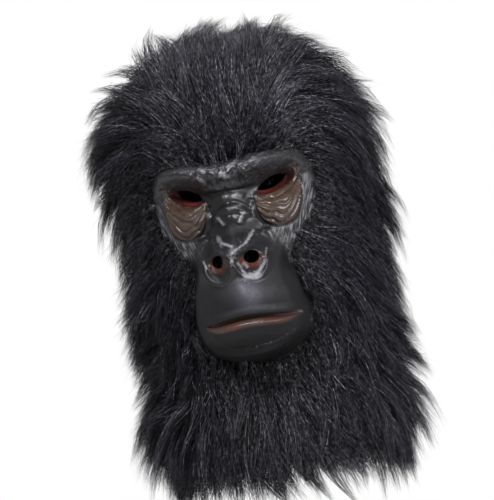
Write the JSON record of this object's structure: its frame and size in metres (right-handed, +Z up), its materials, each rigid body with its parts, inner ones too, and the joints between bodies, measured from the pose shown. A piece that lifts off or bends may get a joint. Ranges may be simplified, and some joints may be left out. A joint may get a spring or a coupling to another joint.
{
  "type": "gorilla mask",
  "caption": "Full-head gorilla mask: a moulded latex face under a fabric hood with a long fur coat and beard, open at the neck, with see-through eyes.",
  "frame": {"origin": "inside of the crown, where the hood rests on the top of the wearer's head", "axes": "+Z up, the face looks along -Y, +X to the wearer's left"},
  "size_m": [0.239, 0.2827, 0.3789],
  "materials": {
    "latex": "satin painted latex, dry-brushed grey and brown",
    "hood_cloth": "black knitted backing cloth",
    "pile": "long black synthetic pile with a slight sheen"
  },
  "bodies": {
    "root": {"face": "latex", "hood": "hood_cloth", "coat": "pile", "beard": "pile"}
  },
  "joints": []
}
